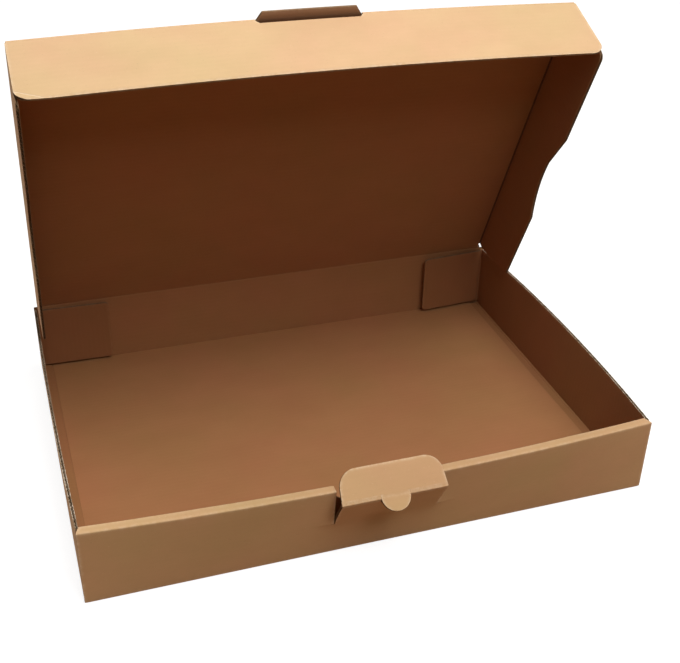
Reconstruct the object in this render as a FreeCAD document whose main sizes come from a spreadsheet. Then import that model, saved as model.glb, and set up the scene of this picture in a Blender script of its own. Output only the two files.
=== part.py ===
import FreeCAD, Part
import math
import os
import re

import Sketcher

# Folding postal box cut from one sheet of thin corrugated board, in millimetres. The origin is at the
# middle of the underside, X runs along the front wall, +Y points to the back wall and +Z is up.
# Panels meet at creases. One panel carries a round bead on the crease line, and the next one starts
# just past it, so that the free flaps can turn.

VECTOR = FreeCAD.Vector

SIZES = {
    # tray
    "box_long": 350.0,          # outside length of the front wall
    "box_deep": 250.0,          # outside depth, front to back
    "box_high": 50.0,           # height of the four walls
    "board": 2.0,               # thickness of the board
    "layer_gap": 0.15,          # air between the layers of the double front wall
    "front_bow": 7.0,           # how far the top of the front wall bulges outwards at its middle
    "right_bow": 5.0,           # the same on the right side wall
    "left_bow": 1.5,            # the same on the left side wall
    "corner_flap_long": 48.0,   # front corner flaps, caught inside the double front wall
    "rear_flap_long": 51.0,     # rear corner flaps, free inside the back wall
    "rear_flap_foot": 2.0,      # from the floor to their lower edge
    "rear_flap_drop": 1.0,      # from the wall tops down to their upper edge
    "rear_flap_corner": 3.0,
    "right_stand": 4.0,         # degrees that the right rear flap stands off the back wall
    "left_stand": 1.5,          # the same on the left
    "back_gap": 0.4,            # from a rear flap pressed back to the back wall
    # lock on the front wall
    "tab_wide": 64.5,
    "tab_long": 19.5,
    "tab_taper": 0.6,
    "tab_corner": 11.0,
    "tab_tilt": 44.0,           # degrees above level, leaning back over the box
    "thumb_radius": 8.7,
    "slit_long": 26.0,          # cuts that free the middle of the front wall
    "cut_gap": 0.4,             # width of a die cut
    "lean_angle": 30.0,         # degrees that the freed middle leans outwards
    # lid
    "lid_open": 66.5,           # degrees from closed
    "lid_rise": 0.5,            # from the wall tops to the underside of the closed lid
    "side_gap": 0.3,            # from the lid's side flaps to the side walls
    "sweep_gap": 0.2,           # from the front flap's swing to the inner front panel
    "floor_gap": 1.5,           # from the flaps of the closed lid to the floor
    "flap_corner": 8.0,
    "tongue_long": 7.0,
    "tongue_root": 64.5,
    "tongue_tip": 57.5,
    "ear_front_gap": 0.5,       # from a side flap to the front flap
    "ear_corner": 5.0,
    "ear_lobe_start": 0.694,    # places along the side flap, as shares of its reach from the hinge
    "ear_dip_front": 0.574,
    "ear_dip_back": 0.366,
    "ear_heel": 0.096,
    "ear_tail_start": 0.018,
    "ear_dip": 8.3,             # how much shallower the hollow is than the front lobe
    "ear_dip_rise": 1.6,        # the same where the hollow ends
    "ear_heel_rise": 3.0,       # the same at the rear corner
    "ear_dip_sag": 2.8,         # depth of the hollow's curve below its two ends
    # creases
    "crease_press": 0.05,       # how far a bead lies below the board's two faces
    "crease_gap": 0.2,          # from a board's face at the crease to the next panel
    "fold_least": 30.0,         # smallest angle between two panels, in degrees
}

# Sizes that follow from others, each a formula in the same sheet.
FOLLOWS = {
    "half_long": "box_long / 2",
    "half_deep": "box_deep / 2",
    "half_board": "board / 2",
    "bead": "half_board - crease_press",
    "wall_high": "box_high - half_board",
    "double_wall": "3 * board + 2 * layer_gap",
    "side_axis": "half_long - half_board",
    "rear_axis": "half_deep - board - back_gap - half_board",
    "front_layer": "half_deep - board - layer_gap - half_board",
    "front_inside": "half_deep - double_wall - board / 4",
    "side_run": "(rear_axis + front_inside) / 2",
    "side_middle": "(rear_axis - front_inside) / 2",
    "rear_flap_low": "board + rear_flap_foot",
    "rear_flap_top": "box_high - rear_flap_drop",
    "slit_foot": "box_high - slit_long",
    "foot_bow": "front_bow * (slit_foot - half_board) / wall_high",
    "middle_foot": "half_board - half_deep - foot_bow",
    "middle_wide": "tab_wide - 2 * cut_gap",
    "lean_sine": "sin(lean_angle * 1deg)",
    "lean_cosine": "cos(lean_angle * 1deg)",
    "lean_top": "middle_foot - slit_long * lean_sine",
    "lean_high": "slit_foot + slit_long * lean_cosine",
    "tab_start": "(half_board * (1 + lean_sine) + crease_gap) / lean_cosine",
    "notch_low": "box_high - tab_long + double_wall",
    "hinge_back": "half_deep - half_board",
    "hinge_high": "box_high + lid_rise + half_board",
    "lid_turn": "180 - lid_open",
    "lid_wide": "box_long - 2 * board - 2 * side_gap",
    "ear_axis": "lid_wide / 2 - half_board",
    "flap_deep": "hinge_high - board - floor_gap",
    "swing_reach": "hinge_back + half_deep - double_wall - sweep_gap",
    "lid_reach": "sqrt(swing_reach * swing_reach - flap_deep * flap_deep) - half_board",
    "lid_edge_back": "hinge_back - lid_reach * cos(lid_open * 1deg)",
    "lid_edge_high": "hinge_high + lid_reach * sin(lid_open * 1deg)",
    "ear_front": "lid_reach - half_board - ear_front_gap",
    "dip_chord": "sqrt(((ear_dip_front - ear_dip_back) * ear_front)^2 + (ear_dip - ear_dip_rise)^2)",
    "dip_radius": "dip_chord * dip_chord / (8 * ear_dip_sag) + ear_dip_sag / 2",
    "crease_start": "half_board + crease_gap",
    "slant_start": "crease_start / sin(fold_least * 1deg)",
    "slant_long": "10 * board",
    "slant_back": "slant_start - slant_long * cos(fold_least * 1deg)",
    "slant_down": "-slant_long * sin(fold_least * 1deg)",
}

os.makedirs("parts", exist_ok=True)
doc = FreeCAD.newDocument("ShippingBox")
sheet = doc.addObject("Spreadsheet::Sheet", "Sizes")
cells = [(alias, str(value)) for alias, value in SIZES.items()]
cells += [(alias, "=" + formula) for alias, formula in FOLLOWS.items()]
for row, (alias, content) in enumerate(cells, start=1):
    sheet.set(f"A{row}", alias)
    sheet.set(f"B{row}", content)
    sheet.setAlias(f"B{row}", alias)
doc.recompute()

NAMES = set(SIZES) | set(FOLLOWS)


def bound(formula):
    """The formula with every name of the sheet written as a reference to it."""
    return re.sub("[a-z_]+", lambda word: ("Sizes." if word[0] in NAMES else "") + word[0], formula)


def figure(formula):
    """The number that a formula gives now."""
    value = sheet.evalExpression(formula)
    return float(getattr(value, "Value", value))


def placed(thing, place=("0", "0", "0"), turn="rotationz(0)"):
    """Puts an object at a place and turns it, both by formula."""
    thing.setExpression("Placement", bound(f"placement(vector({'; '.join(place)}); {turn})"))
    return thing


def block(name, long, deep, high, place, turn="rotationz(0)"):
    box = doc.addObject("Part::Box", name)
    for side, formula in (("Length", long), ("Width", deep), ("Height", high)):
        box.setExpression(side, bound(formula))
    return placed(box, place, turn)


def rod(name, long, place, turn="rotationz(0)", radius="bead"):
    cylinder = doc.addObject("Part::Cylinder", name)
    cylinder.setExpression("Radius", bound(radius))
    cylinder.setExpression("Height", bound(long))
    return placed(cylinder, place, turn)


def joined(name, pieces):
    fuse = doc.addObject("Part::MultiFuse", name)
    fuse.Shapes = pieces
    return fuse


def cut(name, base, tool):
    result = doc.addObject("Part::Cut", name)
    result.Base = base
    result.Tool = tool
    return result


def shared(name, first, second):
    common = doc.addObject("Part::MultiCommon", name)
    common.Shapes = [first, second]
    return common


def outline(name, points, rounds, place=("0", "0", "0"), turn="rotationz(0)"):
    """A closed sketch through points given by formula. rounds gives, by the number of the point that a
    side starts from, the radius of a side that is an arc and where it bulges: 1 right, -1 left."""
    spots = [VECTOR(figure(x), figure(y), 0) for x, y in points]
    sketch = doc.addObject("Sketcher::SketchObject", name)
    starts = []
    for number, start in enumerate(spots):
        end = spots[(number + 1) % len(spots)]
        if number in rounds:
            radius = figure(rounds[number][0])
            side = rounds[number][1]
            half = (end - start) / 2
            inwards = VECTOR(-half.y, half.x, 0).normalize() * side
            centre = start + half + inwards * (radius * radius - half.Length ** 2) ** 0.5
            ends = [start - centre, end - centre][::side]
            first, last = (math.atan2(arm.y, arm.x) for arm in ends)
            circle = Part.Circle(centre, VECTOR(0, 0, 1), radius)
            sketch.addGeometry(Part.ArcOfCircle(circle, first, last), False)
            starts.append(1 if side > 0 else 2)
        else:
            sketch.addGeometry(Part.LineSegment(start, end), False)
            starts.append(1)
    for number, (x, y) in enumerate(points):
        before = number - 1 if number else len(points) - 1
        sketch.addConstraint(Sketcher.Constraint("Coincident", before, 3 - starts[before],
                                                 number, starts[number]))
        for kind, formula, value in (("DistanceX", x, spots[number].x), ("DistanceY", y, spots[number].y)):
            link = sketch.addConstraint(Sketcher.Constraint(kind, -1, 1, number, starts[number], value))
            sketch.setExpression(f"Constraints[{link}]", bound(formula))
    for number, (radius, _) in rounds.items():
        link = sketch.addConstraint(Sketcher.Constraint("Radius", number, figure(radius)))
        sketch.setExpression(f"Constraints[{link}]", bound(radius))
    return placed(sketch, place, turn)


def panel(name, sketch, thickness="board"):
    """A sheet of board that stands evenly on both sides of its sketch."""
    slab = doc.addObject("Part::Extrusion", name)
    slab.Base = sketch
    slab.DirMode = "Normal"
    slab.Solid = True
    slab.Symmetric = True
    slab.setExpression("LengthFwd", bound(thickness))
    return slab


def bowed_layer(name, near, far, bow, half_run, place, turn):
    """A wall layer that is straight at the floor and bulges by bow at the top. near and far are measured
    inwards from the wall's outer face, and the run is centred before the layer is turned into place."""
    radius = f"({half_run} * {half_run} + {bow} * {bow}) / (2 * {bow})"
    corners = [(f"-{half_run}", near), (half_run, near), (half_run, far), (f"-{half_run}", far)]
    foot = outline(name + "_foot", corners, {}, (*place, "half_board"), turn)
    top = outline(name + "_top", corners, {0: (radius, 1), 2: (radius, -1)}, (*place, "box_high"), turn)
    loft = doc.addObject("Part::Loft", name)
    loft.Sections = [foot, top]
    loft.Solid = True
    loft.Ruled = True
    return loft


def front_layer(name, near, far):
    return bowed_layer(name, near, far, "front_bow", "half_long", ("0", "-half_deep"), "rotationz(0)")


def bevelled(name, base, start, long):
    """A panel whose crease edge is pressed thin on the inside, so that it can fold to the least angle.
    The crease runs along X from start, and the panel lies towards +Y with its inside facing +Z."""
    tool = block(name + "_bevel", long, "2 * slant_long", "slant_long",
                 (start, "slant_back", "slant_down"), "rotationx(fold_least)")
    return cut(name, base, tool)


# Tray: floor, back wall with the lid's crease, and the side walls.
pieces = [
    block("floor", "2 * side_axis", "2 * hinge_back", "board", ("-side_axis", "-hinge_back", "0")),
    block("back_wall", "box_long", "board", "wall_high", ("-half_long", "half_deep - board", "half_board")),
    block("back_rise", "lid_wide", "board", "hinge_high - box_high",
          ("-lid_wide / 2", "half_deep - board", "box_high")),
    rod("lid_crease", "lid_wide", ("-lid_wide / 2", "hinge_back", "hinge_high"), "rotationy(90)"),
    rod("back_crease", "box_long", ("-half_long", "hinge_back", "half_board"), "rotationy(90)"),
    rod("front_crease", "box_long", ("-half_long", "-hinge_back", "half_board"), "rotationy(90)"),
]
for word, sign, turn in (("right", "", "rotationz(90)"), ("left", "-", "rotationz(-90)")):
    axis = sign + "side_axis"
    pieces.append(bowed_layer(word + "_wall", "0", "board", word + "_bow", "side_run",
                              (sign + "half_long", "side_middle"), turn))
    pieces.append(block(word + "_front_corner", "board", "front_layer - front_inside", "wall_high",
                        (f"{axis} - half_board", "-front_layer", "half_board")))
    pieces.append(rod(word + "_crease", "2 * side_run", (axis, "rear_axis", "half_board"), "rotationx(90)"))
    pieces.append(rod(word + "_rear_crease", "box_high - board", (axis, "rear_axis", "board")))

# Tray: double front wall, rolled over along its top, with the side walls' front corner flaps inside.
front_hollow = shared("front_hollow",
                      front_layer("hollow_layer", "board", "2 * board + 2 * layer_gap"),
                      block("hollow_span", "box_long - 2 * board", "half_deep", "box_high - 2 * board",
                            ("board - half_long", "-box_deep * 0.6", "board")))
pieces.append(cut("front_wall", front_layer("front_block", "0", "double_wall"), front_hollow))
for word, start in (("right", "half_long - board - corner_flap_long"), ("left", "board - half_long")):
    span = block(word + "_corner_span", "corner_flap_long", "half_deep",
                 "box_high - board - 2 * layer_gap", (start, "-box_deep * 0.6", "0"))
    layer = front_layer(word + "_corner_layer", "board + layer_gap", "2 * board + layer_gap")
    pieces.append(shared(word + "_corner_flap", layer, span))

# Tray: the lock tab leaves a notch in the strip and the inner panel, and two slits free the middle of
# the outer panel below it.
slit_cut = shared("slit_cut",
                  front_layer("cut_layer", "-board", "1.5 * board"),
                  block("cut_span", "tab_wide", "half_deep", "slit_long + board",
                        ("-tab_wide / 2", "-box_deep * 0.6", "slit_foot")))
notch = outline("notch_outline", [
    ("-tab_wide / 2", "box_high + board"),
    ("-tab_wide / 2", "notch_low + tab_corner"),
    ("tab_corner - tab_wide / 2", "notch_low"),
    ("tab_wide / 2 - tab_corner", "notch_low"),
    ("tab_wide / 2", "notch_low + tab_corner"),
    ("tab_wide / 2", "box_high + board"),
], {1: ("tab_corner", 1), 3: ("tab_corner", 1)}, ("0", "-half_deep", "0"), "rotationx(90)")
notch_cut = panel("notch_cut", notch, "2 * (double_wall + front_bow)")
walls = cut("walls", joined("all_walls", pieces), joined("front_cuts", [slit_cut, notch_cut]))

# Tray: the freed middle leans outwards and has the thumb piece's hole in its upper edge.
middle_left = "-middle_wide / 2"
middle = joined("middle", [
    block("middle_slab", "middle_wide", "board", "slit_long",
          (middle_left, "middle_foot - half_board * lean_cosine", "slit_foot - half_board * lean_sine"),
          "rotationx(lean_angle)"),
    rod("middle_crease", "middle_wide", (middle_left, "middle_foot", "slit_foot"), "rotationy(90)"),
    rod("tab_crease", "middle_wide", (middle_left, "lean_top", "lean_high"), "rotationy(90)"),
])
thumb_hole = rod("thumb_hole", "4 * board",
                 ("0", "lean_top + 2 * board * lean_cosine", "lean_high + 2 * board * lean_sine"),
                 "rotationx(90 + lean_angle)", "thumb_radius + cut_gap")
tray = joined("tray", [walls, cut("open_middle", middle, thumb_hole)])

# Lock tab with its half-round thumb piece. Local Y runs from the crease to the tip.
tab_panel = panel("tab_panel", outline("tab_outline", [
    ("-middle_wide / 2", "tab_start"),
    ("-thumb_radius", "tab_start"),
    ("-thumb_radius", "0"),
    ("thumb_radius", "0"),
    ("thumb_radius", "tab_start"),
    ("middle_wide / 2", "tab_start"),
    ("middle_wide / 2 - tab_taper", "tab_long - tab_corner"),
    ("middle_wide / 2 - tab_taper - tab_corner", "tab_long"),
    ("tab_taper + tab_corner - middle_wide / 2", "tab_long"),
    ("tab_taper - middle_wide / 2", "tab_long - tab_corner"),
], {6: ("tab_corner", 1), 8: ("tab_corner", 1)}))
thumb_piece = shared("thumb_piece",
                     rod("thumb_disc", "board", ("0", "0", "-half_board"), radius="thumb_radius"),
                     block("thumb_half", "2 * thumb_radius", "thumb_radius", "board",
                           ("-thumb_radius", "-thumb_radius", "-half_board")))
lock_tab = placed(joined("lock_tab", [tab_panel, thumb_piece]), ("0", "lean_top", "lean_high"),
                  "rotationx(tab_tilt)")

# Lid with its tongue. Local Y runs from the hinge to the front edge, and local +Z is the inside.
lid_pieces = [panel("lid_panel", outline("lid_outline", [
    ("-ear_axis", "crease_start"),
    ("ear_axis", "crease_start"),
    ("ear_axis", "lid_reach"),
    ("tongue_root / 2", "lid_reach"),
    ("tongue_tip / 2", "lid_reach + tongue_long"),
    ("-tongue_tip / 2", "lid_reach + tongue_long"),
    ("-tongue_root / 2", "lid_reach"),
    ("-ear_axis", "lid_reach"),
], {}))]
for word, start, sign in (("right", "tongue_root / 2", ""), ("left", "-ear_axis", "-")):
    lid_pieces.append(rod(word + "_front_bead", "ear_axis - tongue_root / 2", (start, "lid_reach", "0"),
                          "rotationy(90)"))
    lid_pieces.append(rod(word + "_side_bead", "lid_reach - crease_start",
                          (sign + "ear_axis", "lid_reach", "0"), "rotationx(90)"))
lid_place = ("0", "hinge_back", "hinge_high")
lid = placed(joined("lid", lid_pieces), lid_place, "rotationx(lid_turn)")

# Front flap of the lid, square to it. The lid's tongue stands in the slot at its crease.
flap_panel = panel("lid_front_flap", outline("flap_outline", [
    ("-lid_wide / 2", "crease_start"),
    ("-tongue_root / 2 - cut_gap", "crease_start"),
    ("-tongue_tip / 2 - cut_gap", "tongue_long + cut_gap"),
    ("tongue_tip / 2 + cut_gap", "tongue_long + cut_gap"),
    ("tongue_root / 2 + cut_gap", "crease_start"),
    ("lid_wide / 2", "crease_start"),
    ("lid_wide / 2", "flap_deep - flap_corner"),
    ("lid_wide / 2 - flap_corner", "flap_deep"),
    ("flap_corner - lid_wide / 2", "flap_deep"),
    ("-lid_wide / 2", "flap_deep - flap_corner"),
], {6: ("flap_corner", 1), 8: ("flap_corner", 1)},
    ("0", "lid_edge_back", "lid_edge_high"), "rotationx(lid_turn + 90)"))

# Side flaps of the lid, square to it. They are drawn with the crease along X and the inside facing +Z.
side_flaps = []
for word, sign, way, spot in (("right", "-", 1, "ear_axis"), ("left", "", -1, "-ear_axis")):
    corners = [
        ("ear_tail_start * ear_front", "crease_start"),
        ("ear_front", "crease_start"),
        ("ear_front", "flap_deep - ear_corner"),
        ("ear_front - ear_corner", "flap_deep"),
        ("ear_lobe_start * ear_front", "flap_deep"),
        ("ear_dip_front * ear_front", "flap_deep - ear_dip"),
        ("ear_dip_back * ear_front", "flap_deep - ear_dip_rise"),
        ("ear_heel * ear_front", "flap_deep - ear_heel_rise"),
    ]
    corners = [(f"{sign}({along})", deep) for along, deep in corners]
    drawn = outline(word + "_ear_outline", corners, {2: ("ear_corner", -way), 5: ("dip_radius", way)})
    start = "-ear_front" if sign else "0"
    ear = bevelled(f"lid_{word}_flap", panel(word + "_ear_panel", drawn), start, "ear_front")
    turn = f"rotationx(lid_turn) * rotationz({way * -90}) * rotationx(90)"
    place = (spot, "hinge_back", "hinge_high")
    side_flaps.append(placed(ear, place, turn))

# Rear corner flaps of the side walls, folded in against the back wall. They are drawn the same way.
rear_flaps = []
for word, sign, way in (("right", "", 1), ("left", "-", -1)):
    corners = [
        (f"{sign}rear_flap_low", "crease_start"),
        (f"{sign}rear_flap_top", "crease_start"),
        (f"{sign}rear_flap_top", "rear_flap_long - rear_flap_corner"),
        (f"{sign}(rear_flap_top - rear_flap_corner)", "rear_flap_long"),
        (f"{sign}(rear_flap_low + rear_flap_corner)", "rear_flap_long"),
        (f"{sign}rear_flap_low", "rear_flap_long - rear_flap_corner"),
    ]
    drawn = outline(word + "_rear_outline", corners,
                    {2: ("rear_flap_corner", way), 4: ("rear_flap_corner", way)})
    start = "0" if way > 0 else "-box_high"
    flap = bevelled(f"rear_{word}_flap", panel(word + "_rear_panel", drawn), start, "box_high")
    turn = f"rotationz({way} * {word}_stand) * rotationz({90 * way}) * rotationy({-90 * way})"
    rear_flaps.append(placed(flap, (sign + "side_axis", "rear_axis", "0"), turn))

doc.recompute()
for thing in doc.Objects:
    if {"Invalid", "Error"} & set(thing.State):
        raise RuntimeError(f"{thing.Name} did not compute: {thing.State}")

for node in [tray, lock_tab, lid, flap_panel, *side_flaps, *rear_flaps]:
    if node.Shape.isNull() or not node.Shape.isValid():
        raise RuntimeError(f"{node.Label} has no valid shape")
    node.Shape.exportStep(f"parts/{node.Label}.step")
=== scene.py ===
import math

import bpy
import numpy as np
from mathutils import Matrix, Vector


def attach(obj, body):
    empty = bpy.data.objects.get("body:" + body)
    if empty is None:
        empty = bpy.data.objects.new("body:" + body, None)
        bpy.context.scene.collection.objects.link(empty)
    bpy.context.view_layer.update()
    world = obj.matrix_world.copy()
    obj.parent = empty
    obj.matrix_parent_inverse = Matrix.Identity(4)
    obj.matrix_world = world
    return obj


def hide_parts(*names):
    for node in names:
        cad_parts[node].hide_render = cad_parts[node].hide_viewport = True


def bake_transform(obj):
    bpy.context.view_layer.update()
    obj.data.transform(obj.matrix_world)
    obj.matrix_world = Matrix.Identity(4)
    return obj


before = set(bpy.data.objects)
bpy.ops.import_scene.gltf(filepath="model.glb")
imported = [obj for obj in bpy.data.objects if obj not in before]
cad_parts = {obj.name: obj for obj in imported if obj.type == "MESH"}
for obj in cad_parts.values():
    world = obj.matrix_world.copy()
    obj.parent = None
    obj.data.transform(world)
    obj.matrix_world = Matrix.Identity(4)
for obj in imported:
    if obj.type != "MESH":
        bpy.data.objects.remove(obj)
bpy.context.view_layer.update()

# ------------------------------------------------------------------------------------------------
# Tray, front to back: one run of brown kraft corrugated board, 2 mm thick, with its flutes along the
# box. It starts inside the front wall, rolls over the top edge, goes down the front, under as the
# floor and up the back wall. Lengths are in millimetres until a mesh is made.
# ------------------------------------------------------------------------------------------------

HALF_LONG, HALF_DEEP, HIGH = 175.0, 125.0, 50.0
HALF_BOARD = 1.0
LINER = 0.3            # thickness of each of the two papers
PRESSED = 0.26         # slope of the inner paper beside a crease that folds far over
FLUTE = 3.4            # from one wave of the fluting to the next
MEDIUM = 0.1           # half the thickness of the fluted paper
FLUTES_IN = 7.0        # how far in from a cut end the flutes and the papers' raw faces are built
END_THIN, SIDE_THIN = 0.12, 0.4    # how much thinner the board is at a cut end and at a cut side
CUT_REACH = 0.9        # how far in from a cut the board is thinner
RUB_REACH = 1.1        # how far in from a cut its paper is rubbed
EDGE_STEPS = np.array([0.0, 0.35, 0.9, 2.0])    # a board has extra points this far in from its edges
SWELL_FROM = 18.0      # how far in from its edges a board is fully uneven
FRONT_BOW, RIGHT_BOW, LEFT_BOW = 7.0, 5.0, 1.5  # how far the middles of these walls' tops stand out
INNER_LAYER = 119.7    # middle of the inner front panel, from the centre line
INNER_HALF = 172.7     # half its length
INNER_FOOT = 2.25      # height of its lower edge
OUTER_LAYER = HALF_DEEP - HALF_BOARD
TAB_HALF = 32.25       # half the width of the lock tab's cut-out
SLIT_FOOT = 24.0       # height of the slits' lower ends
FLOOR_EDGE = 167.0     # where the floor goes over to the side walls' boards, from the centre line
FLOOR_FRONT, REAR_AXIS = 121.9, 121.6    # front end of those boards, and creases of the rear corner flaps
NOTCH_LOW = 36.8       # height of the lowest edge of the notch in the inner front
NOTCH_CORNER = 11.0
OUTSIDE, INSIDE, RAW = 0, 1, 2


def ease(x):
    x = np.clip(x, 0, 1)
    return x * x * (3 - 2 * x)


def waver(x, seed, grain):
    """An even, small, irregular swing between -1 and 1 along x, the same every time."""
    swing = np.zeros_like(np.asarray(x, float))
    for number, (rate, size) in enumerate(((1.0, 0.5), (2.17, 0.3), (4.63, 0.2))):
        swing = swing + size * np.sin(x * rate * 2 * math.pi / grain + seed * 1.7 + number * 2.4)
    return swing


def folded_run(points, reach=1.6, blunt=0.22, tip_width=0.22):
    """A folded board whose middle line goes through points. Gives the place of any spot of the board by
    its length along the board and its height over the middle line, the lengths of the folds and the whole
    length. Both skins run on to the mitre of a fold, and its tip is a little blunt."""
    points = [np.array(point, float) for point in points]
    legs = [after - before for before, after in zip(points, points[1:])]
    spans = [float(np.linalg.norm(leg)) for leg in legs]
    ways = [leg / span for leg, span in zip(legs, spans)]
    folds = list(np.cumsum(spans)[:-1])
    starts = [0.0, *folds]

    def at(v, w):
        v, w = np.broadcast_arrays(np.asarray(v, float), np.asarray(w, float))
        place = np.zeros((*v.shape, 2))
        leg_of = np.searchsorted(folds, v, side="right")
        for number, way in enumerate(ways):
            here = leg_of == number
            out = np.array([way[1], -way[0]])
            spot = points[number] + way * (v - starts[number])[..., None] + out * w[..., None]
            for fold, sign in ((number - 1, -1), (number, 1)):
                if 0 <= fold < len(folds):
                    before, after = ways[fold], ways[fold + 1]
                    turn = math.atan2(before[0] * after[1] - before[1] * after[0], before @ after)
                    gap = np.abs(v - folds[fold])
                    mitre = w * math.tan(turn / 2) * np.clip(1 - gap / reach, 0, 1)
                    spot = spot + way * (sign * mitre)[..., None]
                    inward = (after - before) / np.linalg.norm(after - before)
                    tip = blunt * np.exp(-(gap / tip_width) ** 2) * np.where(w * turn > 0, 1, 0)
                    spot = spot + inward * tip[..., None]
            place[here] = spot[here]
        return place[..., 0], place[..., 1]

    return at, folds, float(sum(spans))


class Board:
    """Gathers the faces of one piece of board. Each point keeps its place on the flat sheet as UV and how
    worn it is."""

    def __init__(self, place):
        self.place = place
        self.spots, self.sheet, self.worn = [], [], []
        self.quads, self.papers = [], []
        self.count = 0

    def face(self, u, v, w, worn, paper, flip=False, keep=None):
        u, v, w, worn = np.broadcast_arrays(u, v, w, worn)
        rows, columns = u.shape
        self.spots.append(np.stack(self.place(u, v, w), -1).reshape(-1, 3) / 1000)
        self.sheet.append(np.stack([u, v], -1).reshape(-1, 2) / 1000)
        self.worn.append(worn.reshape(-1))
        corner = self.count + np.arange(rows * columns).reshape(rows, columns)
        quads = np.stack([corner[:-1, :-1], corner[:-1, 1:], corner[1:, 1:], corner[1:, :-1]], -1)
        if keep is not None:
            quads = quads[keep]
        quads = quads.reshape(-1, 4)
        self.quads.append(quads[:, ::-1] if flip else quads)
        self.papers.append(np.full(len(quads), paper))
        self.count += rows * columns

    def made(self, name, body, papers, crisp=38):
        mesh = bpy.data.meshes.new(name)
        quads = np.concatenate(self.quads)
        mesh.from_pydata(np.concatenate(self.spots).tolist(), [], quads.tolist())
        mesh.polygons.foreach_set("material_index", np.concatenate(self.papers).astype(np.int32))
        mesh.polygons.foreach_set("use_smooth", np.ones(len(quads), bool))
        layer = mesh.uv_layers.new(name="sheet")
        layer.uv.foreach_set("vector", np.concatenate(self.sheet)[quads.ravel()].astype(np.float32).ravel())
        mark = mesh.attributes.new("worn", "FLOAT", "POINT")
        mark.data.foreach_set("value", np.concatenate(self.worn).astype(np.float32))
        mesh.validate()
        mesh.set_sharp_from_angle(angle=math.radians(crisp))
        piece = bpy.data.objects.new(name, mesh)
        bpy.context.scene.collection.objects.link(piece)
        for paper in papers:
            mesh.materials.append(paper)
        if body:
            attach(piece, body)
        return piece


def even(value):
    return lambda v: np.full_like(np.asarray(v, float), value)


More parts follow.
